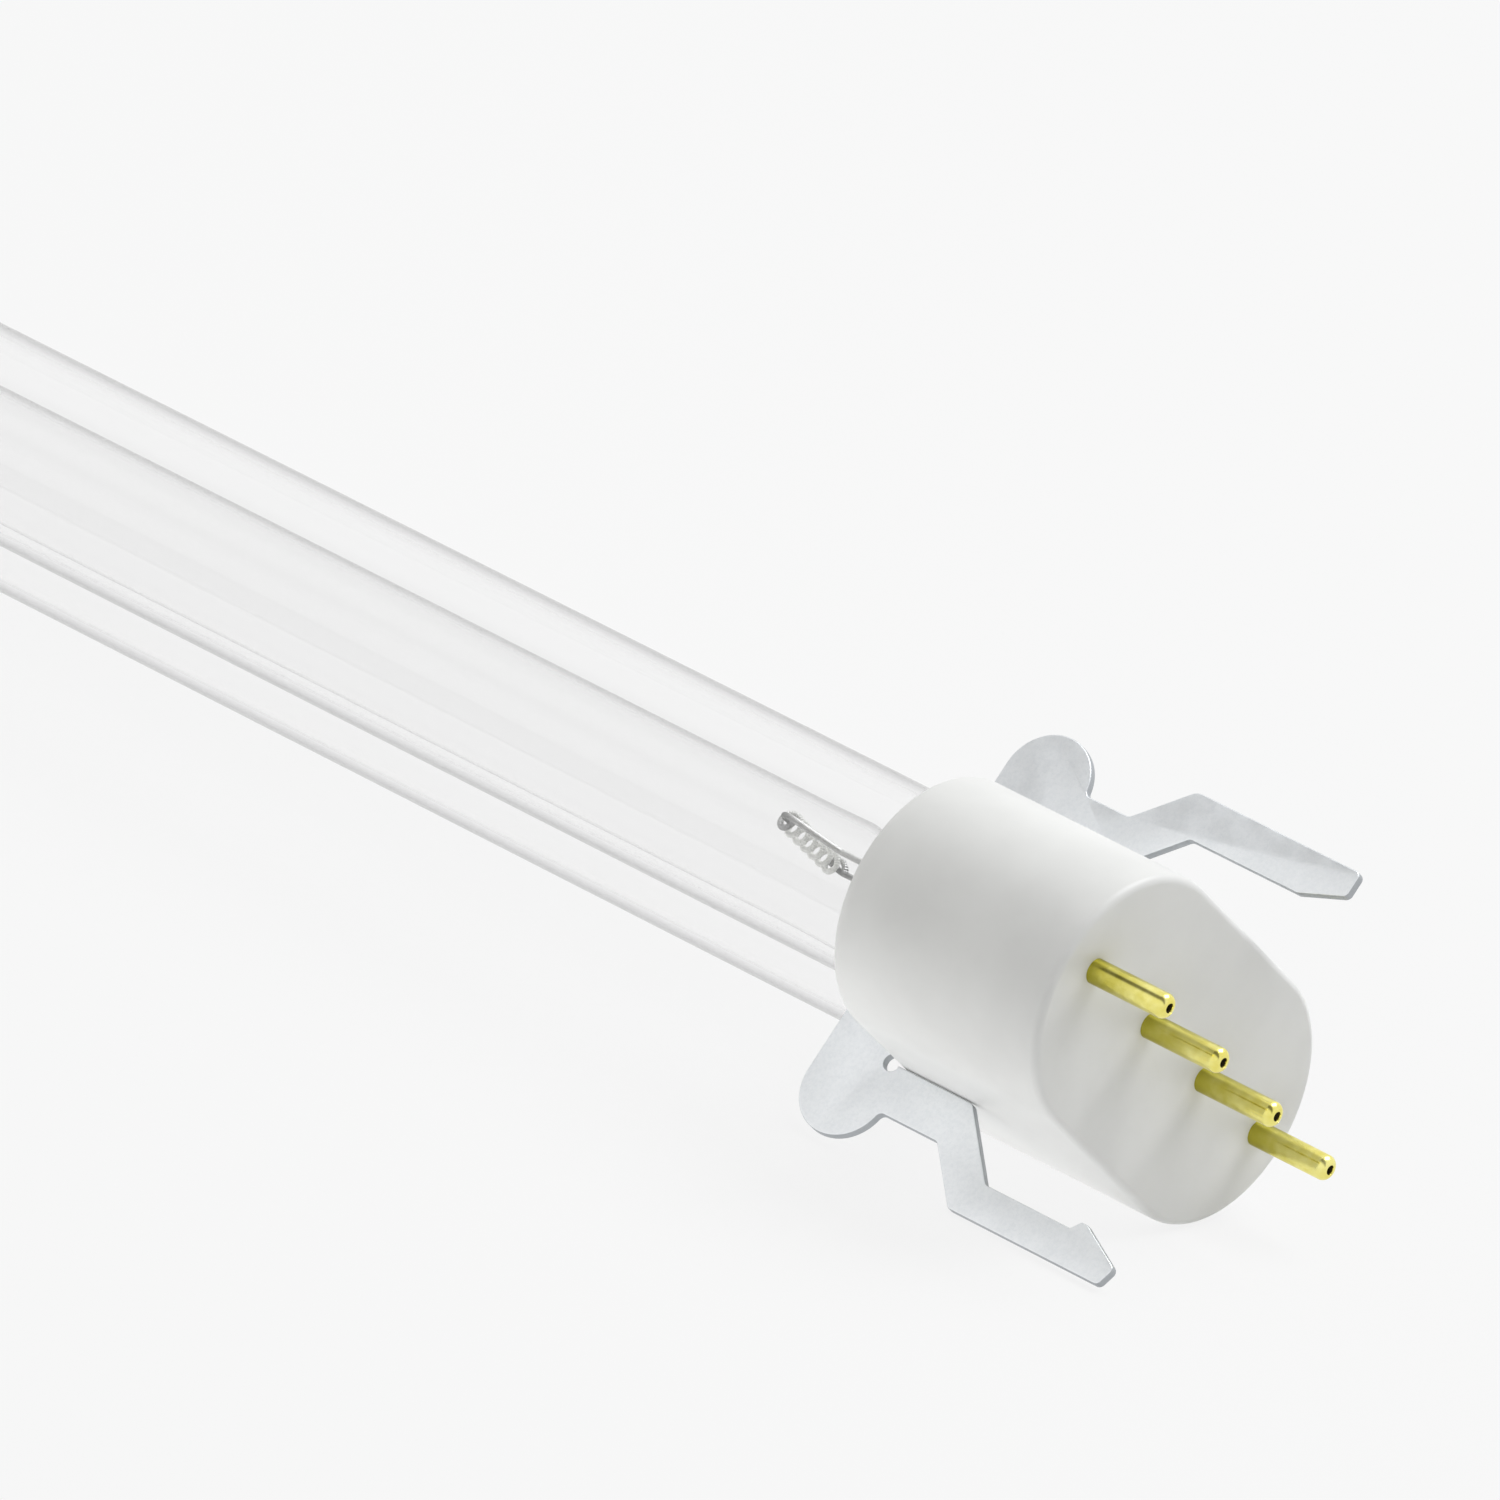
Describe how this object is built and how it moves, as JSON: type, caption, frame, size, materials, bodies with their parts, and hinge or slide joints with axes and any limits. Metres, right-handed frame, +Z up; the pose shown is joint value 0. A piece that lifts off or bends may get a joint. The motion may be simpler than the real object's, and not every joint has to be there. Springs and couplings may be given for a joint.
{
  "type": "uv-c germicidal lamp",
  "caption": "Clear germicidal discharge lamp of parallel glass tubes, with a white stadium-shaped cap, a row of gold contact pins and a stamped steel retaining clip.",
  "frame": {"origin": "centre of the bounding box's underside, on the surface that the lamp lies on", "axes": "+X along the lamp from the domed glass ends to the pins, +Z up from the surface it lies on, +Y across, towards the lower leg"},
  "size_m": [0.2247, 0.0388, 0.0349],
  "materials": {
    "quartz": "clear, uncoated, fire polished",
    "cap_white": "satin moulded white",
    "cement": "matt",
    "clip_steel": "zinc coated sheet, fine grey speckle",
    "mercury": "liquid metal",
    "pin_gold": "gold flashed, polished",
    "lead_copper": "drawn wire",
    "support_nickel": "drawn wire",
    "tungsten": "drawn wire with pale emitter coating"
  },
  "bodies": {
    "root": {"cap_collar": "cap_white", "cap_shell": "cap_white", "capping_cement": "cement", "contact_pin_1": "pin_gold", "contact_pin_2": "pin_gold", "contact_pin_3": "pin_gold", "contact_pin_4": "pin_gold", "electrode_coil_far": "tungsten", "electrode_coil_near": "tungsten", "glass_envelope": "quartz", "lead_wire_1": "lead_copper", "lead_wire_2": "lead_copper", "lead_wire_3": "lead_copper", "lead_wire_4": "lead_copper", "mercury_drop": "mercury", "retaining_clip": "clip_steel", "support_wire_1": "support_nickel", "support_wire_2": "support_nickel", "support_wire_3": "support_nickel", "support_wire_4": "support_nickel"}
  },
  "joints": []
}
